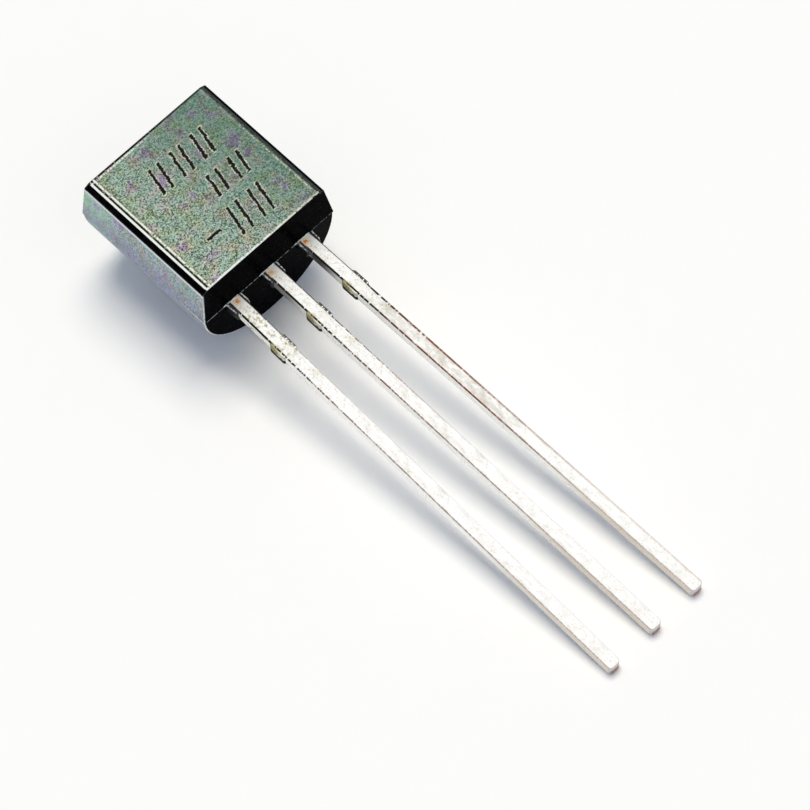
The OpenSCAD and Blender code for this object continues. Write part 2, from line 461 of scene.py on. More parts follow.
def add_piece(work, name, materials, replaced):
    """Makes a piece of a finished bmesh, rides it on the body and hides the part that it replaces.
    """
    mesh = bpy.data.meshes.new(name)
    work.to_mesh(mesh)
    work.free()
    for material in materials:
        mesh.materials.append(material)
    piece = bpy.data.objects.new(name, mesh)
    bpy.context.scene.collection.objects.link(piece)
    evened = piece.modifiers.new("Even shading", "WEIGHTED_NORMAL")
    evened.keep_sharp = True
    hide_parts(replaced)
    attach(piece, BODY)


def case_material(name):
    """A new material, and places in the case's own frame, in millimetres."""
    material, here = start_material(name)
    return material, here.seen_from(case_frame())


# Which of the case's materials a face has
TEXTURED, POLISHED, HIGHLIGHTED_EDGE, FLASH = range(4)


def shoulder(sizes):
    """Half width and height at the foot of the bevels beside the flat."""
    rise = sizes.front_height - sizes.bevel_drop
    return sizes.width / 2 - rise * tan(sizes.wall_draft), rise


def front_planes(sizes):
    """A point on, and the outward normal of, each plane that bounds the flat side."""
    half = sizes.width / 2
    foot, rise = shoulder(sizes)
    for side in (LEFT, RIGHT):
        yield (side * half, 0.0, 0.0), (side * cos(sizes.wall_draft), 0.0, sin(sizes.wall_draft))
        yield (side * foot, 0.0, rise), (side * sizes.bevel_drop, 0.0, sizes.bevel_width)
    yield (0.0, 0.0, 0.0), (0.0, -cos(sizes.end_draft), sin(sizes.end_draft))
    yield (0.0, sizes.length, 0.0), (0.0, cos(sizes.end_draft), sin(sizes.end_draft))


def is_end(face):
    """Whether a face looks the way the leads run, or the other way."""
    return abs(face.normal.y) > 0.5


def is_bevel(face):
    """Whether a face slants down beside the flat."""
    return 0.3 < abs(face.normal.x) < 0.9


def front_half(sizes):
    """The flat side, cut from a larger block and open at the parting plane."""
    work = bmesh.new()
    bmesh.ops.create_cube(work, size=2.0)
    bmesh.ops.scale(work, vec=(sizes.width, sizes.length, sizes.front_height), verts=work.verts)
    for point, normal in front_planes(sizes):
        cut_away(work, point, normal)
    cut_away(work, (0.0, 0.0, 0.0), (0.0, 0.0, -1.0))
    bmesh.ops.recalc_face_normals(work, faces=work.faces)
    for face in work.faces:
        face.material_index = POLISHED if is_bevel(face) or is_end(face) else TEXTURED
    open_face = min(work.faces, key=lambda face: face.calc_center_median().z)
    rim = set(open_face.edges)
    moulded = [edge for edge in work.edges if edge not in rim]
    bmesh.ops.delete(work, geom=[open_face], context="FACES_ONLY")
    rounded = round_edges(work, moulded, sizes.rounding, segments=4)
    least = sizes.front_height - sizes.bevel_drop - 2 * sizes.rounding
    # The rounding along the flat's edges gets the painted edge highlights
    for face in rounded:
        if face.calc_center_median().z > least:
            face.material_index = HIGHLIGHTED_EDGE
    return work


def back_half(sizes):
    """The rounded side, cut from a longer cylinder and open at the parting plane."""
    radius = sizes.width / 2 - sizes.ledge
    work = bmesh.new()
    bmesh.ops.create_cone(
        work,
        cap_ends=True,
        segments=sizes.back_facets,
        radius1=radius,
        radius2=radius,
        depth=2 * sizes.length,
        matrix=Matrix.Rotation(pi / 2, 4, "X"),
    )
    slope = sizes.back_draft
    far = sizes.length - sizes.ledge
    cut_away(work, (0.0, sizes.ledge, 0.0), (0.0, -cos(slope), -sin(slope)))
    cut_away(work, (0.0, far, 0.0), (0.0, cos(slope), -sin(slope)))
    cut_away(work, (0.0, 0.0, 0.0), (0.0, 0.0, 1.0))
    bmesh.ops.recalc_face_normals(work, faces=work.faces)
    for face in work.faces:
        face.material_index = POLISHED if is_end(face) else TEXTURED
    open_face = max(work.faces, key=lambda face: face.calc_center_median().z)
    bmesh.ops.delete(work, geom=[open_face], context="FACES_ONLY")
    round_edges(work, sharp_corners(work, BACK_CORNER), sizes.rounding, segments=3)
    return work


# From a lead's middle to its flash's inner face, inside the lead, and to the lead's side
FLASH_INNER = 0.17 * MM
FLASH_SIDE = 0.195 * MM
# How far the flash reaches into the case, and down from the parting plane
FLASH_INSIDE = 0.1 * MM
FLASH_DEPTH = 0.38 * MM
# Lumps of its rough surface in a millimetre, and how far they stray across, along and in height
FLASH_LUMPS = 9
FLASH_STRAY_X = 0.018 * MM
FLASH_STRAY_Y = 0.07 * MM
FLASH_STRAY_Z = 0.012 * MM
# How much shorter its outer side is than its inner one
FLASH_SLANT = 0.06 * MM


def flash(sizes, lead, side):
    """A crust of resin beside a lead's root, broken off short of the lead's bend."""
    inner = lead * sizes.lead_pitch + side * FLASH_INNER
    outer = lead * sizes.lead_pitch + side * (FLASH_SIDE + sizes.flash_width)
    middle = ((inner + outer) / 2, (FLASH_INSIDE - sizes.flash_length) / 2, -FLASH_DEPTH / 2)
    size = (abs(outer - inner), FLASH_INSIDE + sizes.flash_length, FLASH_DEPTH)
    seed = Vector((0.0, 0.0, 40.0 * lead + 7.0 * side))
    work = bmesh.new()
    bmesh.ops.create_cube(work, size=1.0)
    bmesh.ops.scale(work, vec=size, verts=work.verts)
    bmesh.ops.translate(work, vec=middle, verts=work.verts)
    bmesh.ops.subdivide_edges(work, edges=work.edges[:], cuts=6, use_grid_fill=True)
    for vert in work.verts:
        out = (vert.co.x - inner) / (outer - inner)
        along = max(0.0, -vert.co.y / sizes.flash_length)
        ragged = noise.noise(vert.co / MM * FLASH_LUMPS + seed)
        upwards = 1 if vert.co.z > middle[2] else -1
        vert.co.x += side * FLASH_STRAY_X * out * (ragged - along)
        vert.co.y += along * (FLASH_STRAY_Y * ragged + FLASH_SLANT * out)
        vert.co.z += upwards * FLASH_STRAY_Z * (ragged - 1.0) * out
    for face in work.faces:
        face.material_index = FLASH
    return work


def join(work, other):
    """Moves another bmesh's geometry into work."""
    mesh = bpy.data.meshes.new("joined")
    other.to_mesh(mesh)
    other.free()
    work.from_mesh(mesh)
    bpy.data.meshes.remove(mesh)


def case_mesh(sizes):
    """The whole moulding in its own frame."""
    work = front_half(sizes)
    join(work, back_half(sizes))
    ledge = bmesh.ops.bridge_loops(work, edges=[edge for edge in work.edges if edge.is_boundary])
    for face in ledge["faces"]:
        face.material_index = TEXTURED
    for lead in LEADS.values():
        for side in (LEFT, RIGHT):
            join(work, flash(sizes, lead, side))
    bmesh.ops.recalc_face_normals(work, faces=work.faces)
    return work


# Rows of etched marks: middle along the case, half height, left end, number of pairs
MARK_ROWS = ((3.32, 0.4, -0.96, 3), (2.19, 0.34, 0.0, 2), (1.04, 0.44, -0.3, 2))
# A dash beside the last row: middle across, middle along, half length
MARK_DASH = (-0.76, 1.14, 0.22)
# Width of the light fringe round a mark, and over how far a mark's border eases out
MARK_FRINGE = 0.035
MARK_SOFT = 0.02


def etched_marks(place):
    """Masks of the strokes and of the light fringe beside them."""
    sizes = bpy.context.scene.mark_sizes
    pitch, group = sizes.pitch / MM, sizes.group / MM
    half_stroke = sizes.stroke / MM / 2 - MARK_SOFT / 2
    x, y, z = place.axes()
    x = x + place.noise(6.0).sway(0.1)
    rough = place.noise(17.0).sway(0.09)
    marks, fringes = [], []
    kinds = ((marks, 0.0), (fringes, MARK_FRINGE))
    for middle, half, left, pairs in MARK_ROWS:
        rise = y - middle
        across = x - left - rise * sizes.lean
        from_pair = abs(across.wrap(0.0, group) - group / 2)
        off = abs(from_pair - pitch / 2) + rough
        half_row = pairs * group / 2
        in_row = across.near(half_row, half_row, MARK_SOFT / 2)
        for masks, extra in kinds:
            height = rise.near(0.0, half + extra, MARK_SOFT)
            width = off.near(0.0, half_stroke + extra, MARK_SOFT)
            masks.append(in_row * height * width)
    across, along, half = MARK_DASH
    off = abs(y - along) + rough
    for masks, extra in kinds:
        height = off.near(0.0, half_stroke + extra, MARK_SOFT)
        masks.append(height * x.near(across, half + extra, MARK_SOFT))
    top = bpy.context.scene.case_sizes.front_height / MM
    on_flat = z.ramp(top - 0.08, top - 0.05)
    marked = any_of(marks) * on_flat
    return marked, any_of(fringes) * on_flat * ~marked


def case_corners():
    """Places of the case's edges in its own frame, in millimetres."""
    sizes = bpy.context.scene.case_sizes
    half = sizes.width / 2
    foot, rise = shoulder(sizes)
    return SimpleNamespace(
        half=half / MM,
        length=sizes.length / MM,
        top=sizes.front_height / MM,
        shoulder_z=rise / MM,
        flat_half=(foot - sizes.bevel_width) / MM,
        near_run=sizes.front_height * tan(sizes.end_draft) / MM,
        back_radius=(half - sizes.ledge) / MM,
        ledge=sizes.ledge / MM,
    )


# How far in a painted edge highlight is whole and has ended: on the flat side,
# and on the rounded side's rim
HIGHLIGHT_EDGE = (0.022, 0.032)
HIGHLIGHT_RIM = (0.026, 0.036)


def left_rim_highlights(place, corners):
    """Painted highlights along the left of the leads' end: its upright edge, the wall's foot
    and the rounded side's rim."""
    sizes = bpy.context.scene.case_sizes
    x, y, z = place.axes()
    at_wall = (x + corners.half - z * tan(sizes.wall_draft)).fade(*HIGHLIGHT_EDGE)
    at_end = (y - z * tan(sizes.end_draft)).fade(*HIGHLIGHT_EDGE)
    upright = at_wall * at_end * z.ramp(0.0, 0.02) * z.ramp(0.3, corners.shoulder_z, 0.95, 0.5)
    foot = at_wall * z.near(0.012, 0.016, 0.01) * y.ramp(0.35, 1.2, 0.9, 0.0)

    whole, ended = HIGHLIGHT_RIM
    radius = place.stretch(1.0, 0.0, 1.0).from_origin()
    rim = radius.ramp(corners.back_radius - ended, corners.back_radius - whole)
    from_end = y + z * tan(sizes.back_draft)
    rim = rim * from_end.fade(corners.ledge + whole, corners.ledge + ended)
    rim = rim * z.fade(-0.02, 0.0) * x.ramp(-1.2, -0.5, 0.9, 0.0)
    highlight_breaks = place.noise(15.0, 3.0, 0.7).ramp(0.34, 0.5, 0.25, 1.0)
    return (upright | foot | rim) * highlight_breaks


def grained_flat(place, grain, pits):
    """The flat's texture: crisper towards the leads' end and the left. Painted shade darkens it
    towards the far right, and painted glints light its pits near the leads' end.
    """
    colours = bpy.context.scene.case_colours
    x, y, _ = place.axes()
    smooth = (x + y * 0.6).ramp(-0.6, 3.4, 0.092, 0.19)
    base = grain.around(0.5, smooth).blend(colours.grain_dark, colours.grain_light)
    # Painted shade, deepening towards the far right
    away = x + y * 0.35
    base = away.ramp(-2.2, 3.6, 0.05, 0.55).blend(base, colours.painted_shade)
    # Painted glints in the pits, fading away from the leads' end
    bright = pits.ramp(0.57, 0.68) * away.ramp(0.0, 2.2, 0.95, 0.1)
    return bright.blend(base, colours.painted_highlight)


def grained_walls(place, grain, calm):
    """The walls' texture, lighter than the flat's in a painted reflection of the pale floor: lilac
    low down, teal towards the far end and darker on the right.
    """
    colours = bpy.context.scene.case_colours
    x, y, z = place.axes()
    middle = y.ramp(3.0, 4.3, 0.5, 0.425) + z.ramp(-0.3, 0.7, 0.0, -0.025)
    share = grain.around(middle, calm.level(0.14, 0.26))
    # Lighter than the flat: a painted reflection of the pale floor
    base = share.blend(colours.wall_dark, colours.wall_light)
    # Lilac low down: painted reflection of the floor
    base = z.ramp(0.8, 0.1, 0.2, 0.8).tint(base, colours.wall_lilac)
    base = y.ramp(3.2, 4.3, 0.1, 0.9).tint(base, colours.wall_teal)
    # Painted shade on the right of the walls
    return x.ramp(-0.4, 1.4, 0.0, 0.5).blend(base, colours.painted_shade)


def grained(place, corners, grain, pits):
    """The flat's and the walls' eroded texture, under faint clouds of colour."""
    colours = bpy.context.scene.case_colours
    x, y, z = place.axes()
    wall = z.fade(corners.shoulder_z - 0.02, corners.shoulder_z + 0.02)
    calm = z.ramp(0.9, 0.3) | x.ramp(-0.5, 0.5)
    base = grained_flat(place, grain, pits)
    base = wall.blend(base, grained_walls(place, grain, calm))

    clear = (wall * calm).level(1.0, 0.35)
    patches = place.noise(2.3, 2.0, 0.4)
    base = (patches.ramp(0.58, 0.46) * clear).tint(base, colours.teal)
    lilac = patches.ramp(y.ramp(1.5, 3.6, 0.66, 0.53), 0.7)
    base = (lilac * clear).tint(base, colours.lilac)
    warm = place.noise(3.1, 3.0, 0.6).ramp(0.48, 0.6)
    left_edge = x.ramp(0.45 - corners.flat_half, 0.15 - corners.flat_half) * ~wall
    return (warm | left_edge).tint(base, colours.buff)


def flat_edges(place, corners, base):
    """Fine lines along the flat's edges, the white and light ones painted highlights: black and
    white on the left, a black one with a light one inside it at the far end, a white one at the
    leads' end, a faint one on the right."""
    colours = bpy.context.scene.case_colours
    x, y, z = place.axes()
    on_flat = z.ramp(corners.top - 0.03, corners.top - 0.01)
    along = place.stretch(4.0, 17.0, 4.0).noise(1.0)
    across = place.stretch(17.0, 4.0, 4.0).noise(1.0)

    # Each line is given by how far in from the edge it lies, half its width and its soft border
    from_left = x + corners.flat_half
    black = from_left.near(0.072, 0.018, 0.012) * along.ramp(0.3, 0.42)
    thin = from_left.near(0.195, 0.006, 0.012) * along.ramp(0.46, 0.58) * 0.6
    black = (black | thin) * on_flat
    white = from_left.near(0.137, 0.018, 0.014) * along.ramp(0.32, 0.46) * 0.9
    white = (white | from_left.fade(0.034, 0.044)) * on_flat

    from_far = corners.length - corners.near_run - y
    far_black = from_far.fade(0.06, 0.072) * across.ramp(0.26, 0.4)
    black = black | far_black * on_flat * x.ramp(0.0, 1.2, 1.0, 0.85)
    pale = from_far.near(0.107, 0.014, 0.02) * across.ramp(0.4, 0.52)
    white = white | pale * on_flat * x.ramp(-1.0, 0.8, 0.8, 0.0)

    from_near = y - corners.near_run
    near_white = from_near.fade(0.05, 0.07) * across.ramp(0.38, 0.5, 0.2, 1.0)
    white = white | near_white * on_flat * x.ramp(0.3, 1.4, 0.95, 0.7)

    from_right = corners.flat_half - x
    faint = from_right.near(0.065, 0.012, 0.014) * along.ramp(0.44, 0.56)
    white = white | faint * on_flat * y.ramp(3.8, 1.6, 0.15, 0.6)

    # Painted highlights, yellowing towards the right
    light = x.ramp(-0.6, 1.6, 0.1, 0.9).blend(colours.painted_highlight, colours.cream_highlight)
    return white.blend(black.blend(base, colours.mark), light)


def textured_epoxy():
    """Matt epoxy, moulded against spark-eroded steel, with the etched marks."""
    colours = bpy.context.scene.case_colours
    corners = case_corners()
    material, place = case_material("epoxy_textured")
    x, _, z = place.axes()
    grain = place.noise(22.0, 3.0, 0.75)
    pits = place.noise(38.0)
    base = grained(place, corners, grain, pits)

    marked, fringed = etched_marks(place)
    chipped = pits.ramp(0.43, 0.52) * place.noise(7.0).ramp(0.4, 0.6, 0.35, 1.0)
    base = (fringed * chipped).blend(base, colours.fringe)
    base = (marked * pits.ramp(0.34, 0.46, 0.92, 1.0)).blend(base, colours.mark)
    base = flat_edges(place, corners, base)

    # A painted highlight along the left wall, just below its bevel
    below = corners.shoulder_z - z
    line = below.fade(0.1, 0.115) * below.ramp(-0.02, 0.0) * x.fade(-0.1, 0.1)
    base = (line * grain.ramp(0.26, 0.4, 0.7, 1.0)).blend(base, colours.painted_highlight)
    # Painted highlights on the left rims
    base = left_rim_highlights(place, corners).blend(base, colours.painted_highlight)
    relief = grain + pits * 0.6 - marked * 1.2
    return finish_material(
        material,
        Base_Color=base,
        Roughness=grain.ramp(0.3, 0.7, 0.66, 0.5),
        Specular_IOR_Level=0.06,
        Normal=relief.bump(0.006 * MM),
    )


def parting_line_glints(place):
    """Painted glints in a dotted line along the ends' parting line, fainter away from the
    leads' roots.
    """
    x, y, z = place.axes()
    pitch = bpy.context.scene.case_sizes.lead_pitch / MM
    root = any_of(x.near(lead * pitch - 0.1, 0.22, 0.08) for lead in LEADS.values())
    root = root * y.fade(1.0, 2.0)
    line = (z - root.level(0.03, 0.055)).fade(0.0, 0.008) * z.ramp(-0.02, -0.01)
    dots = (place.noise(14.0, 3.0, 0.7) + root * 0.06).ramp(0.43, 0.53)
    return line * dots * root.level(x.ramp(1.3, 1.6, 0.4, 0.2), 1.0)


def polished_epoxy():
    """Near-black epoxy, moulded against polished steel."""
    colours = bpy.context.scene.case_colours
    sizes = bpy.context.scene.case_sizes
    corners = case_corners()
    material, place = case_material("epoxy_polished")
    x, y, z = place.axes()
    haze = place.noise(6.0, 4.0, 0.7)
    base = haze.ramp(0.45, 0.8).blend(colours.polished, colours.haze)

    # The right bevel's inner part gets a painted sheen
    dull = x.near(corners.flat_half + 0.045, 0.03, 0.02)
    dull = dull * z.ramp(corners.shoulder_z - 0.01, corners.shoulder_z)
    mottled = place.noise(18.0, 2.0, 0.6).ramp(0.38, 0.6, 0.55, 1.0)
    base = (dull * mottled).blend(base, colours.sheen)

    # The far end, above and below the parting line, is duller too, and lighter in a painted sheen
    above = z.math("MAXIMUM", z, 0.0) * tan(sizes.end_draft)
    below = z.math("MINIMUM", z, 0.0) * tan(sizes.back_draft)
    far_end_sheen = (y + above - below).ramp(corners.length - 0.05, corners.length - 0.03)
    base = (far_end_sheen * haze.ramp(0.3, 0.6, 0.6, 1.0)).blend(base, colours.far_end_sheen)

    # Painted glints along the parting line
    base = parting_line_glints(place).blend(base, colours.painted_highlight)
    # Painted highlights on the left rims
    base = left_rim_highlights(place, corners).blend(base, colours.painted_highlight)
    return finish_material(
        material,
        Base_Color=base,
        Roughness=haze.ramp(0.3, 0.8, 0.16, 0.34),
        Specular_IOR_Level=0.003,
        Normal=haze.bump(0.003 * MM),
    )


def edge_highlight_epoxy():
    """Moulded edges round the flat, with painted highlights on their rounding: white on the
    left and at the leads' end.
    """
    colours = bpy.context.scene.case_colours
    corners = case_corners()
    material, place = case_material("epoxy_edge_highlight")
    x, y, z = place.axes()
    highlight_breaks = place.noise(16.0, 3.0, 0.7)
    left = x.fade(-0.1, 0.1)
    near_end = y.fade(corners.near_run + 0.05, corners.near_run + 0.09)
    over_flat = x.near(0.0, corners.flat_half - 0.01, 0.03)
    strength = (near_end * over_flat).mix(left.level(0.12, 0.96), 0.97)

    # What stays black, with no painted highlight: the far end, the bevels' ends, the leads' end
    # and the bevels' feet
    black = y.ramp(corners.length - 0.2, corners.length - 0.16) | near_end * ~over_flat
    black = black | y.ramp(corners.near_run + 0.008, corners.near_run)
    black = black | z.near(corners.shoulder_z + 0.01, 0.018, 0.006)

    highlight_fill = left | near_end * x.ramp(0.6, 1.9, 1.0, 0.25)
    edge_highlight = strength * ~black * highlight_breaks.ramp(highlight_fill.level(0.44, 0.2), highlight_fill.level(0.6, 0.4))
    yellow = x.ramp(-0.6, 1.6, 0.0, 0.9) * highlight_breaks.ramp(0.4, 0.6, 1.0, 0.5)
    light = yellow.blend(colours.painted_highlight, colours.cream_highlight)
    return finish_material(
        material,
        Base_Color=edge_highlight.blend(colours.polished, light),
        Roughness=edge_highlight.level(0.35, 0.6),
        Specular_IOR_Level=0.2,
        Normal=edge_highlight.bump(0.002 * MM),
    )


def flash_epoxy():
    """Thin broken resin beside the leads, with painted glints along its edges."""
    colours = bpy.context.scene.case_colours
    half_pitch = bpy.context.scene.case_sizes.lead_pitch / MM / 2
    material, place = case_material("epoxy_flash")
    x, _, z = place.axes()
    from_lead = abs(x.wrap(-half_pitch, half_pitch))
    # Painted glints along the flash's edges
    rim = from_lead.ramp(0.215, 0.235) * z.ramp(-0.07, -0.035)
    highlight_breaks = place.noise(17.0, 3.0, 0.7).ramp(0.42, 0.54)
    return finish_material(
        material,
        Base_Color=(rim * highlight_breaks).blend(colours.haze, colours.painted_highlight),
        Roughness=0.4,
        Specular_IOR_Level=0.3,
        Normal=place.noise(20.0, 3.0, 0.6).bump(0.01 * MM),
    )


class CaseOperator(bpy.types.Operator):
    """Make the moulded case and its epoxy"""

    bl_idname = "transistor.case"
    bl_label = "Moulded case"

    def execute(self, context):
        work = case_mesh(context.scene.case_sizes)
        bmesh.ops.transform(work, matrix=case_frame(), verts=work.verts)
        shade(work)
        materials = (textured_epoxy(), polished_epoxy(), edge_highlight_epoxy(), flash_epoxy())
        add_piece(work, "moulded_case", materials, "case")
        return {"FINISHED"}


class LeadLook(NamedTuple):
    """How one lead's plating has aged. Places are in millimetres from the case."""

    # Each edge's line: where it begins to fade, where it has faded, and its share at both
    left: tuple
    right: tuple
    # Width of the left and of the right edge's line
    widths: tuple
    # Where the dots of the edge lines begin and are whole, on the scale of their noise
    dots: tuple
    # Middle of the bare copper at the root: off the lead's middle, and from the case
    spot: tuple
    # How much of the copper's colour shows there
    bare: float
    # How much painted shade darkens the root's left side
    shade: float
    # How dull the middle stretch is
    dull: float
    # How stained the stretch up to the stubs is
    stained: float


LOOKS = {
    "emitter_lead": LeadLook(
        left=(2.5, 6.0, 1.0, 0.7),
        right=(0.6, 5.0, 0.85, 0.0),
        widths=(0.03, 0.025),
        dots=(0.42, 0.54),
        spot=(0.0, 0.1),
        bare=0.85,
        shade=0.0,
        dull=0.0,
        stained=0.85,
    ),
    "base_lead": LeadLook(
        left=(3.5, 8.0, 1.0, 0.65),
        right=(2.5, 8.0, 0.95, 0.0),
        widths=(0.03, 0.035),
        dots=(0.4, 0.52),
        spot=(-0.07, 0.12),
        bare=0.5,
        shade=0.7,
        dull=0.05,
        stained=0.2,
    ),
    "collector_lead": LeadLook(
        left=(6.0, 10.0, 1.0, 0.5),
        right=(4.0, 9.0, 1.0, 0.4),
        widths=(0.036, 0.062),
        dots=(0.36, 0.48),
        spot=(-0.08, 0.1),
        bare=1.0,
        shade=1.0,
        dull=0.3,
        stained=0.15,
    ),
}


def lead_places(place, look):
    """Places and patterns on a lead that its finishes share."""
    sizes = bpy.context.scene.lead_sizes
    side, top = sizes.half_width / MM, sizes.half_thickness / MM
    x, y, z = place.axes()
    from_case = sizes.length / MM - y
    dots = place.stretch(5.0, 14.0, 5.0).noise(1.0) + from_case.ramp(1.2, 2.2, 0.12, 0.0)
    return SimpleNamespace(
        x=x,
        y=y,
        z=z,
        side=side,
        top=top,
        from_case=from_case,
        beside=abs(x),
        left=x.fade(-0.02, 0.02),
        upper=z.ramp(top - 0.05, top - 0.025),
        on_side=abs(x).ramp(side - 0.006, side + 0.002),
        streaks=place.stretch(30.0, 1.2, 30.0).noise(1.0, 3.0, 0.6),
        blotches=place.stretch(5.5, 2.6, 5.5).noise(1.0, 5.0, 0.75),
        grains=place.noise(24.0, 2.0, 0.6),
        ragged=place.stretch(9.0, 7.0, 9.0).noise(1.0, 4.0, 0.75),
        dots=dots.ramp(*look.dots),
    )


def plating(lead, look):
    """Tin: yellowed in places, painted brighter on the sides as a reflection of the pale floor,
    with painted shade on the root's left side, streaked, specked and stained.
    """
    colours = bpy.context.scene.lead_colours
    along = lead.from_case
    yellow = lead.blotches.ramp(0.52, 0.7) * lead.grains.ramp(0.35, 0.6, 0.3, 0.9)
    base = (yellow * along.ramp(2.5, 7.0, 1.0, 0.4)).blend(colours.tin, colours.yellowed)
    dull = along.near(5.0, 2.0, 1.0) * lead.blotches.ramp(0.3, 0.6) * look.dull
    base = dull.blend(base, colours.speck)

    # Painted reflection of the pale floor on the sides
    sides = along.ramp(9.0, 11.0).blend(colours.side, colours.side_far)
    # Painted shade on the left side near the root: the dark case reflected there
    root = lead.x.ramp(0.0, -0.1) * along.ramp(0.7, 1.6, look.shade, 0.0)
    base = lead.on_side.blend(base, root.blend(sides, colours.dark))

    base = lead.streaks.ramp(0.5, 0.75, 0.0, 0.2).blend(base, colours.speck)
    specks = lead.grains.ramp(0.58, 0.7) * along.ramp(2.5, 5.0, 0.75, 0.4)
    base = specks.blend(base, colours.speck)
    stains = along.near(1.3, 0.7, 0.4) * lead.ragged.ramp(0.52, 0.6) * look.stained
    return stains.blend(base, colours.olive)


def edge_lines(lead, look, base):
    """Lines along the edges: black dots near the case, then brown, then a faint grey line."""
    colours = bpy.context.scene.lead_colours
    along, left = lead.from_case, lead.left
    edge_colour = along.ramp(2.2, 4.6).blend(colours.dark, colours.brown)
    edge_colour = along.ramp(8.5, 11.0).blend(edge_colour, colours.grey)

    left_width, right_width = look.widths
    left_width = along.ramp(1.5, 3.8, 0.046, left_width)
    right_width = along.ramp(1.8, 2.6, 0.029, right_width)
    inner = lead.side - left.mix(right_width, left_width)
    soft = 0.022
    outer = ((lead.beside - inner) / soft).ramp(-0.5, 0.5)
    share = left.mix(along.ramp(*look.right), along.ramp(*look.left))
    broken = lead.dots.level(along.ramp(3.0, 7.0, 0.0, 0.5), 1.0)
    base = (lead.upper * outer * share * broken).blend(base, edge_colour)

    lower = lead.z.ramp(0.055 - lead.top, 0.03 - lead.top) * left * lead.on_side
    lower = lower * along.ramp(2.5, 6.0, 0.75, 0.12) * lead.dots
    return lower.blend(base, edge_colour)


def stub_faces(lead, base):
    """The dam bar's stubs, bright in the sides' painted reflection: on the left olive and then
    bright, over a black broken edge, and on the right bright with a black dotted rim."""
    colours = bpy.context.scene.lead_colours
    beside, side, left = lead.beside, lead.side, lead.left
    wavy = lead.ragged.sway(0.4)
    stained = (lead.from_case + wavy).ramp(1.86, 1.98, 1.0, 0.6) * left
    stained = stained * lead.grains.ramp(0.3, 0.5, 0.6, 1.0)
    # The sides' painted reflection on the sheared faces
    sheared = stained.blend(colours.side, colours.olive)
    torn = (lead.z + wavy * 0.8).ramp(0.02, -0.03)
    sheared = (torn * left).blend(sheared, colours.dark)
    rim = beside.ramp(side + 0.004, side + 0.012) * lead.dots.ramp(0.1, 0.4, 0.6, 0.97)
    rim = rim * lead.z.ramp(lead.top - 0.11, lead.top - 0.07) * ~left
    sheared = rim.blend(sheared, colours.dark)
    base = beside.ramp(side + 0.002, side + 0.012).blend(base, sheared)

    # The upper face is stained olive too, just before the left stub
    before = lead.from_case.near(1.72, 0.08, 0.08) * left * lead.upper
    before = before * beside.ramp(0.08, 0.15) * lead.ragged.ramp(0.4, 0.56)
    return before.blend(base, colours.olive)


def sheared_tip(lead, base):
    """The tip's sheared end: bright above and salmon below."""
    wave = lead.ragged * 0.1
    tip = (lead.y + wave).fade(0.06, 0.1) * (lead.z + wave).ramp(0.0, 0.12, 0.95, 0.08)
    return tip.blend(base, bpy.context.scene.lead_colours.salmon)


def copper_root(lead, look, base):
    """Copper that shows where the plating stops at the case, in a yellowed patch."""
    colours = bpy.context.scene.lead_colours
    across, along = look.spot
    reach = (abs(lead.x - across) | abs(lead.from_case - along)) + lead.grains * 0.16
    on_top = lead.z.ramp(lead.top - 0.05, lead.top - 0.02)
    patch = reach.ramp(0.22, 0.15) * on_top * 0.9
    bare = reach.ramp(0.145, 0.115) * on_top * look.bare
    return bare.blend(patch.blend(base, colours.yellowed), colours.copper)


def tinned_copper(node):
    """Tin plating with tarnished edges, sheared stubs and tip, and bare copper at the root."""
    look = LOOKS[node]
    material, here = start_material("tin_" + node)
    lead = lead_places(here.seen_from(lead_frame(node)), look)
    base = edge_lines(lead, look, plating(lead, look))
    base = sheared_tip(lead, stub_faces(lead, base))
    return finish_material(
        material,
        Base_Color=copper_root(lead, look, base),
        Metallic=1.0,
        Roughness=lead.blotches.ramp(0.3, 0.7, 0.68, 0.78),
        Normal=(lead.streaks + lead.grains * 0.8).bump(0.004 * MM),
    )


def blunt_tip(work, node, reach):
    """Rounds the upright edges of a lead's tip."""
    own = lead_frame(node).inverted()
    tip_length, least_height = 0.1 * MM, 0.3 * MM
    upright = []
    for edge in work.edges:
        low, high = sorted((own @ vert.co for vert in edge.verts), key=lambda place: place.z)
        if high.y < tip_length and high.z - low.z > least_height:
            upright.append(edge)
    if len(upright) != 4:
        raise RuntimeError(node + "'s tip doesn't have four upright edges")
    round_edges(work, upright, reach, segments=4)


def lead_mesh(node, sizes):
    """A copy of a lead's solid with whole faces, rounded edges and a blunt tip."""
    work = bmesh.new()
    work.from_mesh(frame["nodes"][node].data)
    bmesh.ops.remove_doubles(work, verts=work.verts, dist=1e-7)
    bmesh.ops.dissolve_limit(work, angle_limit=radians(0.5), verts=work.verts, edges=work.edges)
    if any(not edge.is_manifold for edge in work.edges):
        raise RuntimeError(node + " isn't closed")
    for face in work.faces:
        face.material_index = 0
    blunt_tip(work, node, sizes.tip_rounding)
    round_edges(work, sharp_corners(work, LEAD_CORNER), sizes.rounding, segments=3)
    shade(work)
    return work


class LeadsOperator(bpy.types.Operator):
    """Make the three stamped leads and their tin plating"""

    bl_idname = "transistor.leads"
    bl_label = "Leads"

    def execute(self, context):
        for node in LEADS:
            work = lead_mesh(node, context.scene.lead_sizes)
            add_piece(work, "tinned_" + node, (tinned_copper(node),), node)
        return {"FINISHED"}


def dress(node, material):
    """Gives a node of the frame another material."""
    part = frame["nodes"][node]
    part.data.materials.clear()
    part.data.materials.append(material)


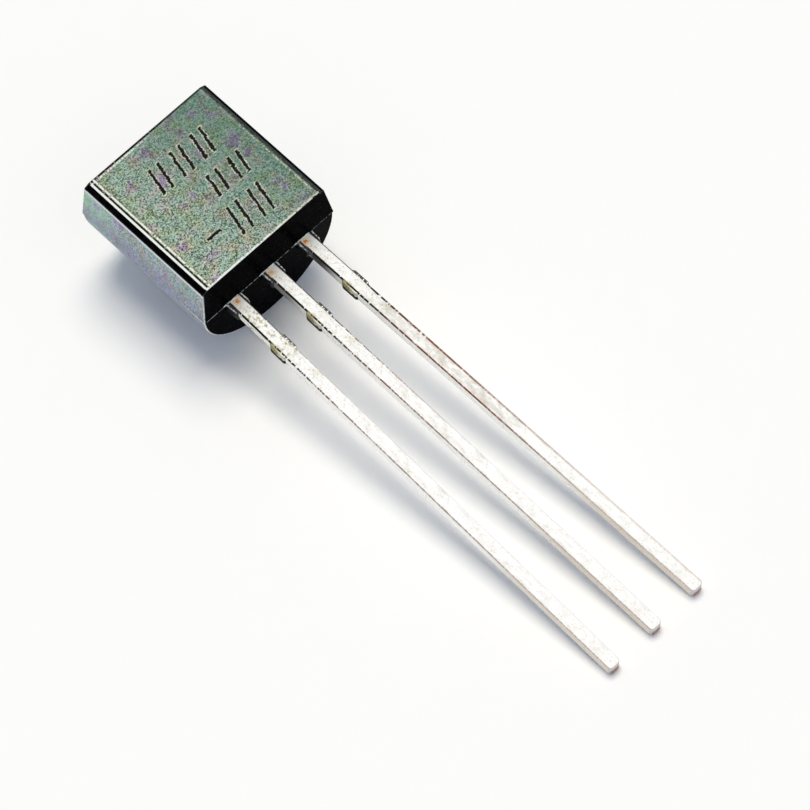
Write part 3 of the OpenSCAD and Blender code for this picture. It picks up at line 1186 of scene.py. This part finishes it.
def diced_silicon():
    """Polished silicon, with the saw's grooves and a faint tint of cells."""
    colours = bpy.context.scene.inside_colours
    material, place = case_material("diced_silicon")
    saw = place.stretch(4.0, 4.0, 60.0).noise(1.0, 3.0, 0.6)
    base = saw.ramp(0.35, 0.65).blend(colours.sawn, colours.silicon)
    base = place.noise(22.0, 1.0).ramp(0.55, 0.6, 0.0, 0.5).blend(base, colours.cells)
    return finish_material(
        material,
        Base_Color=base,
        Metallic=0.6,
        Roughness=saw.ramp(0.3, 0.7, 0.15, 0.4),
        Normal=saw.bump(0.002 * MM),
    )


def bonding_gold():
    """Bright drawn gold wire."""
    colours = bpy.context.scene.inside_colours
    material, place = case_material("bonding_gold")
    drawn = place.noise(30.0)
    return finish_material(
        material,
        Base_Color=drawn.ramp(0.35, 0.65).blend(colours.drawn, colours.gold),
        Metallic=1.0,
        Roughness=drawn.ramp(0.3, 0.7, 0.18, 0.32),
        Normal=drawn.bump(0.001 * MM),
    )


class InsidesOperator(bpy.types.Operator):
    """Dress the chip and its bond wires"""

    bl_idname = "transistor.insides"
    bl_label = "Chip and bond wires"

    def execute(self, context):
        dress("chip", diced_silicon())
        gold = bonding_gold()
        for node in ("emitter_wire", "base_wire"):
            dress(node, gold)
        return {"FINISHED"}


def paper(settings):
    """The floor's matt paper, with faint fibres."""
    material, here = start_material("paper_floor")
    fibres = here.noise(900.0, 3.0, 0.6).ramp(0.3, 0.7, 0.0, 0.4)
    soft = fibres.blend(settings.floor, settings.fibres)
    return finish_material(material, Base_Color=soft, Roughness=0.9, Specular_IOR_Level=0.0)


def add_floor(settings):
    """A flat floor at Z = 0."""
    work = bmesh.new()
    bmesh.ops.create_grid(work, x_segments=1, y_segments=1, size=settings.floor_reach)
    mesh = bpy.data.meshes.new("floor")
    work.to_mesh(mesh)
    work.free()
    mesh.materials.append(paper(settings))
    floor = bpy.data.objects.new("floor", mesh)
    bpy.context.scene.collection.objects.link(floor)


def set_surroundings(settings):
    """Light from all round, and a pale backdrop for the camera and for reflections."""
    world = bpy.data.worlds.new("soft_surroundings")
    world.use_nodes = True
    bpy.context.scene.world = world
    tree = world.node_tree
    lit = tree.nodes["Background"]
    put(settings.sky, lit.inputs["Color"])
    seen = add_node(tree, "Background", {"Color": settings.backdrop})
    path = add_node(tree, "LightPath", {})
    rays = ("Is Camera Ray", "Is Glossy Ray", "Is Transmission Ray")
    share = any_of(Value(path.outputs[ray]) for ray in rays)
    light = share.node("MixShader", {0: share, 1: Value(lit.outputs[0]), 2: Value(seen.outputs[0])})
    put(light, tree.nodes["World Output"].inputs["Surface"])


def add_key(settings):
    """A soft round light, so far away that it falls alike on the whole part."""
    reach = Vector((tan(settings.key_x), tan(settings.key_y), 1.0))
    lamp = bpy.data.lights.new("key", "SUN")
    lamp.angle = settings.key_spread
    lamp.color = settings.key
    lamp.energy = settings.key_level * pi / reach.normalized().z
    light = bpy.data.objects.new("key", lamp)
    light.rotation_euler = reach.to_track_quat("Z", "Y").to_euler()
    bpy.context.scene.collection.objects.link(light)


def add_camera(settings):
    """A camera that looks at its aim from a distance, which also sets its range."""
    around, up = settings.azimuth, settings.elevation
    look = Vector((sin(around) * cos(up), cos(around) * cos(up), -sin(up)))
    lens = bpy.data.cameras.new("camera")
    lens.sensor_width = 36.0
    lens.lens = settings.lens
    lens.clip_start = settings.distance / 20
    lens.clip_end = settings.distance * 10
    camera = bpy.data.objects.new("camera", lens)
    turn = look.to_track_quat("-Z", "Y") @ Quaternion((0.0, 0.0, 1.0), settings.roll)
    camera.rotation_euler = turn.to_euler()
    camera.location = Vector(settings.aim) - look * settings.distance
    bpy.context.scene.collection.objects.link(camera)
    bpy.context.scene.camera = camera


class StageOperator(bpy.types.Operator):
    """Set the floor, the lights and the camera"""

    bl_idname = "transistor.stage"
    bl_label = "Stage"

    def execute(self, context):
        settings = context.scene.stage_settings
        add_floor(settings)
        set_surroundings(settings)
        add_key(settings)
        add_camera(settings)
        context.scene.view_settings.view_transform = "Standard"
        return {"FINISHED"}


class TransistorPanel(bpy.types.Panel):
    """Sizes, colours and steps of the transistor"""

    bl_idname = "VIEW3D_PT_transistor"
    bl_label = "Transistor"
    bl_space_type = "VIEW_3D"
    bl_region_type = "UI"
    bl_category = "Transistor"

    def draw(self, context):
        for operator, groups in STEPS.items():
            box = self.layout.box()
            box.operator(operator.bl_idname)
            for name in groups:
                settings = getattr(context.scene, name)
                for prop in settings.bl_rna.properties:
                    if prop.identifier not in ("rna_type", "name"):
                        box.prop(settings, prop.identifier)


GROUPS = {
    "case_sizes": CaseSizes,
    "case_colours": CaseColours,
    "mark_sizes": MarkSizes,
    "lead_sizes": LeadSizes,
    "lead_colours": LeadColours,
    "inside_colours": InsideColours,
    "stage_settings": StageSettings,
}
STEPS = {
    CaseOperator: ("case_sizes", "case_colours", "mark_sizes"),
    LeadsOperator: ("lead_sizes", "lead_colours"),
    InsidesOperator: ("inside_colours",),
    StageOperator: ("stage_settings",),
}


def register():
    for name, group in GROUPS.items():
        bpy.utils.register_class(group)
        setattr(bpy.types.Scene, name, PointerProperty(type=group))
    for operator in STEPS:
        bpy.utils.register_class(operator)
    bpy.utils.register_class(TransistorPanel)


def unregister():
    bpy.utils.unregister_class(TransistorPanel)
    for operator in STEPS:
        bpy.utils.unregister_class(operator)
    for name, group in GROUPS.items():
        delattr(bpy.types.Scene, name)
        bpy.utils.unregister_class(group)


def main():
    register()
    bpy.ops.transistor.case()
    bpy.ops.transistor.leads()
    bpy.ops.transistor.insides()
    bpy.ops.transistor.stage()


if __name__ == "__main__":
    main()
